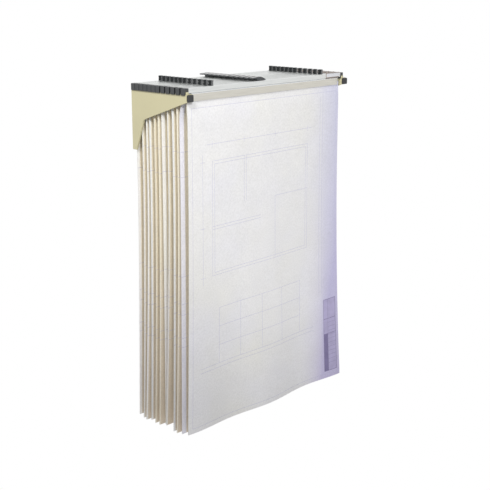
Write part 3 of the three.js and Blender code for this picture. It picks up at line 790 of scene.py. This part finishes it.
def leaf(name, number, form, columns, paper, drop, trim=UNTRIMMED, prints=(), bundles=0):
    """One sheet of a pack, or a bundle of them. prints are lists of strips, each with its ink."""
    low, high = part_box(f"{clamp_name(number)}_sheets")
    middle = clamp_middle(number)
    width, length = SHEET_FLAT
    strips = [strip for lines, _ in prints for strip in lines]
    sides = cuts(columns, width, crowd_sides, [strip[:2] for strip in strips])
    drops = cuts(LEAF_ROWS, length, crowd_top, [strip[2:] for strip in strips])
    top = high.z - drop * MM + trim[1]
    points = []
    spots = []
    for down in drops:
        for side in sides:
            lean, y = form(side / width, top - down)
            points.append((low.x + side + lean + trim[0], middle + y, top - down))
            spots.append((side / width, down / length))
    faces, slots = grid_faces(sides, drops, prints)
    materials = (paper, *(ink for _, ink in prints))
    piece = bpy.data.objects.new(name, sheet_mesh(name, points, spots, faces, slots, materials))
    bpy.context.scene.collection.objects.link(piece)
    thick = piece.modifiers.new("thickness", "SOLIDIFY")
    thick.thickness = LEAF_THICK
    thick.offset = 0
    if bundles:
        thicken(piece, [(across, top - down * length) for across, down in spots], bundles)
    piece.modifiers.new("normals", "WEIGHTED_NORMAL")
    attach(piece, clamp_name(number))
    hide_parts(f"{clamp_name(number)}_sheets")


def hang_stored_packs():
    draw = random.Random(SEED)
    bundles = REAR_LEAVES - 1
    for number, pack in enumerate(REAR_PACKS, 1):
        name = clamp_name(number)
        # Each stored pack's paper carries painted shade inside its pale margin
        mask = shade_inside_margin(pack.margin)
        paper = drawing_paper(f"{name}_paper", PAPERS[pack.paper], PAINTED_SHADE_TONES, mask)
        for place in range(REAR_LEAVES):
            form = hanging_form(pack, stored_fold(number), SIDE_REACH, leaf_depth(place, bundles))
            piece = f"{name}_leaf_{place + 1}"
            if place:
                trim = (draw.uniform(0, TRIM_SLACK), draw.uniform(0, TRIM_SLACK))
                leaf(piece, number, form, REAR_COLUMNS, paper, pack.drop, trim=trim, bundles=bundles)
            else:
                prints = [(margin_lines(), finish["ink"])]
                leaf(piece, number, form, REAR_COLUMNS, paper, pack.drop, prints=prints)


def hang_front_pack():
    left, top, right, bottom = BLOCK
    prints = [
        (floor_plan(), finish["ink"]),
        ([(left, right, top, bottom)], finish["block_tone"]),
        (title_block(), finish["block_ink"]),
    ]
    drop = FRONT_PACK.drop
    bundles = FRONT_LEAVES - 1
    for place in range(FRONT_LEAVES):
        form = hanging_form(FRONT_PACK, front_curl, FRONT_SIDE_REACH, leaf_depth(place, bundles))
        piece = f"{clamp_name(FRONT)}_leaf_{place + 1}"
        if place:
            leaf(piece, FRONT, form, FRONT_COLUMNS, front_paper, drop, bundles=bundles)
        else:
            leaf(piece, FRONT, form, FRONT_COLUMNS, front_paper, drop, prints=prints)


# Stage
def white_rays(tree):
    """1 for rays that show the surroundings: from the camera, from gloss and through glass."""
    path = add(tree, "ShaderNodeLightPath")
    seen = math_node(tree, "MAXIMUM", path.outputs["Is Camera Ray"], path.outputs["Is Glossy Ray"])
    return math_node(tree, "MAXIMUM", seen, path.outputs["Is Transmission Ray"])


def make_world():
    world = bpy.data.worlds.new("studio")
    bpy.context.scene.world = world
    world.use_nodes = True
    tree = world.node_tree
    tree.nodes.clear()
    soft = add(tree, "ShaderNodeBackground")
    soft.inputs["Color"].default_value = (*AMBIENT, 1)
    white = add(tree, "ShaderNodeBackground")
    white.inputs["Color"].default_value = (*WHITE, 1)
    mix = add(tree, "ShaderNodeMixShader")
    output = add(tree, "ShaderNodeOutputWorld")
    tree.links.new(white_rays(tree), mix.inputs["Fac"])
    tree.links.new(soft.outputs["Background"], mix.inputs[1])
    tree.links.new(white.outputs["Background"], mix.inputs[2])
    tree.links.new(mix.outputs["Shader"], output.inputs["Surface"])


def make_floor():
    """A pale floor that keeps the shadow under the rack and fades to white further out."""
    material, tree, shader = new_material("floor")
    shader.inputs["Base Color"].default_value = (*FLOOR_COLOUR, 1)
    shader.inputs["Roughness"].default_value = FLOOR_ROUGHNESS
    shader.inputs["Specular IOR Level"].default_value = 0.0
    glow = add(tree, "ShaderNodeEmission")
    reach = add(tree, "ShaderNodeVectorMath", operation="LENGTH")
    tree.links.new(coordinates(tree), reach.inputs[0])
    far = (FLOOR_SHADE_RADIUS, FLOOR_FADE_RADIUS)
    fade = map_range(tree, reach.outputs["Value"], *far, FLOOR_GLOW, 1.0, "SMOOTHSTEP")
    mix = add(tree, "ShaderNodeMixShader")
    tree.links.new(math_node(tree, "MULTIPLY", white_rays(tree), fade), mix.inputs["Fac"])
    tree.links.new(shader.outputs["BSDF"], mix.inputs[1])
    tree.links.new(glow.outputs["Emission"], mix.inputs[2])
    tree.links.new(mix.outputs["Shader"], tree.nodes["Material Output"].inputs["Surface"])
    bpy.ops.mesh.primitive_circle_add(vertices=FLOOR_SIDES, radius=FLOOR_REACH, fill_type="NGON")
    floor = bpy.context.object
    floor.name = "floor"
    floor.location.z = FLOOR_LEVEL
    floor.data.materials.append(material)


def make_lamp(name, kind, place, target, power):
    lamp = bpy.data.lights.new(name, kind)
    lamp.energy = power
    holder = bpy.data.objects.new(name, lamp)
    holder.location = place
    aim = Vector(target) - Vector(place)
    holder.rotation_euler = aim.to_track_quat("-Z", "Y").to_euler()
    bpy.context.scene.collection.objects.link(holder)
    return lamp


def make_lamps():
    key = make_lamp("key", "SPOT", KEY_PLACE, KEY_TARGET, KEY_POWER)
    key.shadow_soft_size = KEY_RADIUS
    key.spot_size = KEY_CONE
    key.spot_blend = KEY_BLEND
    fill = make_lamp("fill", "AREA", FILL_PLACE, FILL_TARGET, FILL_POWER)
    back = make_lamp("back", "AREA", BACK_PLACE, BACK_TARGET, BACK_POWER)
    for lamp in (fill, back):
        lamp.shape = "DISK"
        lamp.size = SOFT_SIZE


def make_camera():
    data = bpy.data.cameras.new("camera")
    data.lens = CAMERA_LENS
    data.sensor_width = CAMERA_SENSOR
    data.shift_y = CAMERA_SHIFT
    camera = bpy.data.objects.new("camera", data)
    camera.location = CAMERA_PLACE
    camera.rotation_euler = (math.pi / 2 - CAMERA_PITCH, 0, CAMERA_YAW - math.pi / 2)
    bpy.context.scene.collection.objects.link(camera)
    bpy.context.scene.camera = camera


finish_rack()
finish_bars()
finish_knobs()
finish_front_clamp()
hang_stored_packs()
hang_front_pack()
make_world()
make_floor()
make_lamps()
make_camera()
bpy.context.scene.view_settings.view_transform = "Standard"
